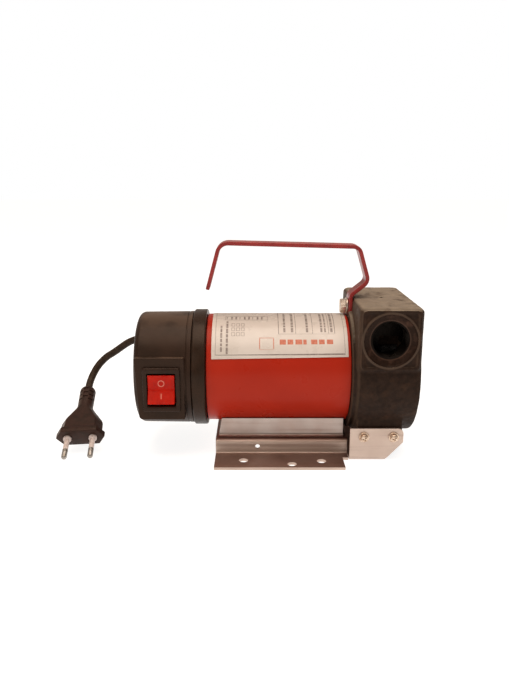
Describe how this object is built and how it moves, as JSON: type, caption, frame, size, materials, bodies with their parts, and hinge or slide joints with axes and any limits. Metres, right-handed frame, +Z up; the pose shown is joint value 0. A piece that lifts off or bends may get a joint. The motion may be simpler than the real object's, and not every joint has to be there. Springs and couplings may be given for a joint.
{
  "type": "fluid transfer pump",
  "caption": "Electric self-priming fluid transfer pump: tube motor, vane pump head with side ports, folded base, carrying handle, rocker switch and plug lead.",
  "frame": {"origin": "centre of the pump's footprint on the floor, cord and plug left out", "axes": "+X along the motor shaft from the switch cover to the pump head, +Y from the switch side to the back, +Z up"},
  "size_m": [0.2621, 0.114, 0.1537],
  "materials": {
    "zinc_plate": "galvanised sheet, mottled",
    "screw_steel": "zinc plated",
    "painted_casting": "black paint over a rough casting",
    "bracket_paint": "black paint",
    "black_plastic": "black moulding, slightly glossy",
    "switch_red": "translucent red moulding",
    "red_paint": "gloss red paint on steel tube",
    "handle_red": "red powder coat",
    "label_foil": "silver-white film",
    "bright_steel": "machined",
    "copper": "copper",
    "carbon": "carbon",
    "ferrite": "dark ceramic",
    "brass": "stamped brass",
    "capacitor_case": "yellow box",
    "rubber": "black",
    "vane_resin": "fibre resin",
    "pin_metal": "nickel plated pins with moulded sleeves"
  },
  "bodies": {
    "pump": {"base_plate": "zinc_plate", "motor_saddle": "zinc_plate", "base_screw_1": "screw_steel", "base_screw_2": "screw_steel", "base_screw_3": "screw_steel", "base_screw_4": "screw_steel", "base_washer_1": "screw_steel", "base_washer_2": "screw_steel", "base_washer_3": "screw_steel", "base_washer_4": "screw_steel", "pump_cover_screw_1": "screw_steel", "pump_cover_screw_2": "screw_steel", "pump_cover_screw_3": "screw_steel", "pump_cover_screw_4": "screw_steel", "rear_cover_screw_1": "screw_steel", "rear_cover_screw_2": "screw_steel", "through_bolt_top": "screw_steel", "through_bolt_bottom": "screw_steel", "handle_bolt": "screw_steel", "handle_washer": "screw_steel", "pump_head": "painted_casting", "pump_cover": "painted_casting", "end_bracket": "bracket_paint", "rear_cover": "black_plastic", "switch_housing": "black_plastic", "plug_body": "black_plastic", "motor_housing": "red_paint", "carry_handle": "handle_red", "rating_label": "label_foil", "cam_ring": "bright_steel", "rear_bearing": "bright_steel", "front_bearing": "bright_steel", "brush_spring_front": "bright_steel", "brush_spring_back": "bright_steel", "field_magnet_front": "ferrite", "field_magnet_back": "ferrite", "bridge_rectifier": "ferrite", "brush_holder_front": "brass", "brush_holder_back": "brass", "noise_capacitor": "capacitor_case", "cover_seal_ring": "rubber", "shaft_seal": "rubber", "cord_gland": "rubber", "power_cord": "rubber", "brush_plate": "vane_resin", "plug_pin_1": "pin_metal", "plug_pin_2": "pin_metal"},
    "rotor": {"motor_shaft": "bright_steel", "armature_core": "bright_steel", "armature_winding": "copper", "commutator": "copper", "pump_rotor": "bright_steel", "vane_1": "vane_resin", "vane_2": "vane_resin", "vane_3": "vane_resin", "vane_4": "vane_resin", "vane_5": "vane_resin"},
    "rocker": {"switch_rocker": "switch_red"},
    "front_brush": {"brush_front": "carbon"},
    "back_brush": {"brush_back": "carbon"}
  },
  "joints": [
    {"name": "rotor_spin", "type": "hinge", "parent": "pump", "child": "rotor", "pos_m": [0, 0, 0.0595], "axis": [1, 0, 0], "continuous": true},
    {"name": "rocker_tilt", "type": "hinge", "parent": "pump", "child": "rocker", "pos_m": [-0.0805, -0.0405, 0.0542], "axis": [1, 0, 0], "range_deg": [0, 18]},
    {"name": "front_brush_slide", "type": "slide", "parent": "pump", "child": "front_brush", "axis": [0, -1, 0], "range_m": [0, 0.003], "stiffness_N_per_m": 300, "springref_m": -0.006, "deforming": ["brush_spring_front"]},
    {"name": "back_brush_slide", "type": "slide", "parent": "pump", "child": "back_brush", "axis": [0, 1, 0], "range_m": [0, 0.003], "stiffness_N_per_m": 300, "springref_m": -0.006, "deforming": ["brush_spring_back"]}
  ]
}
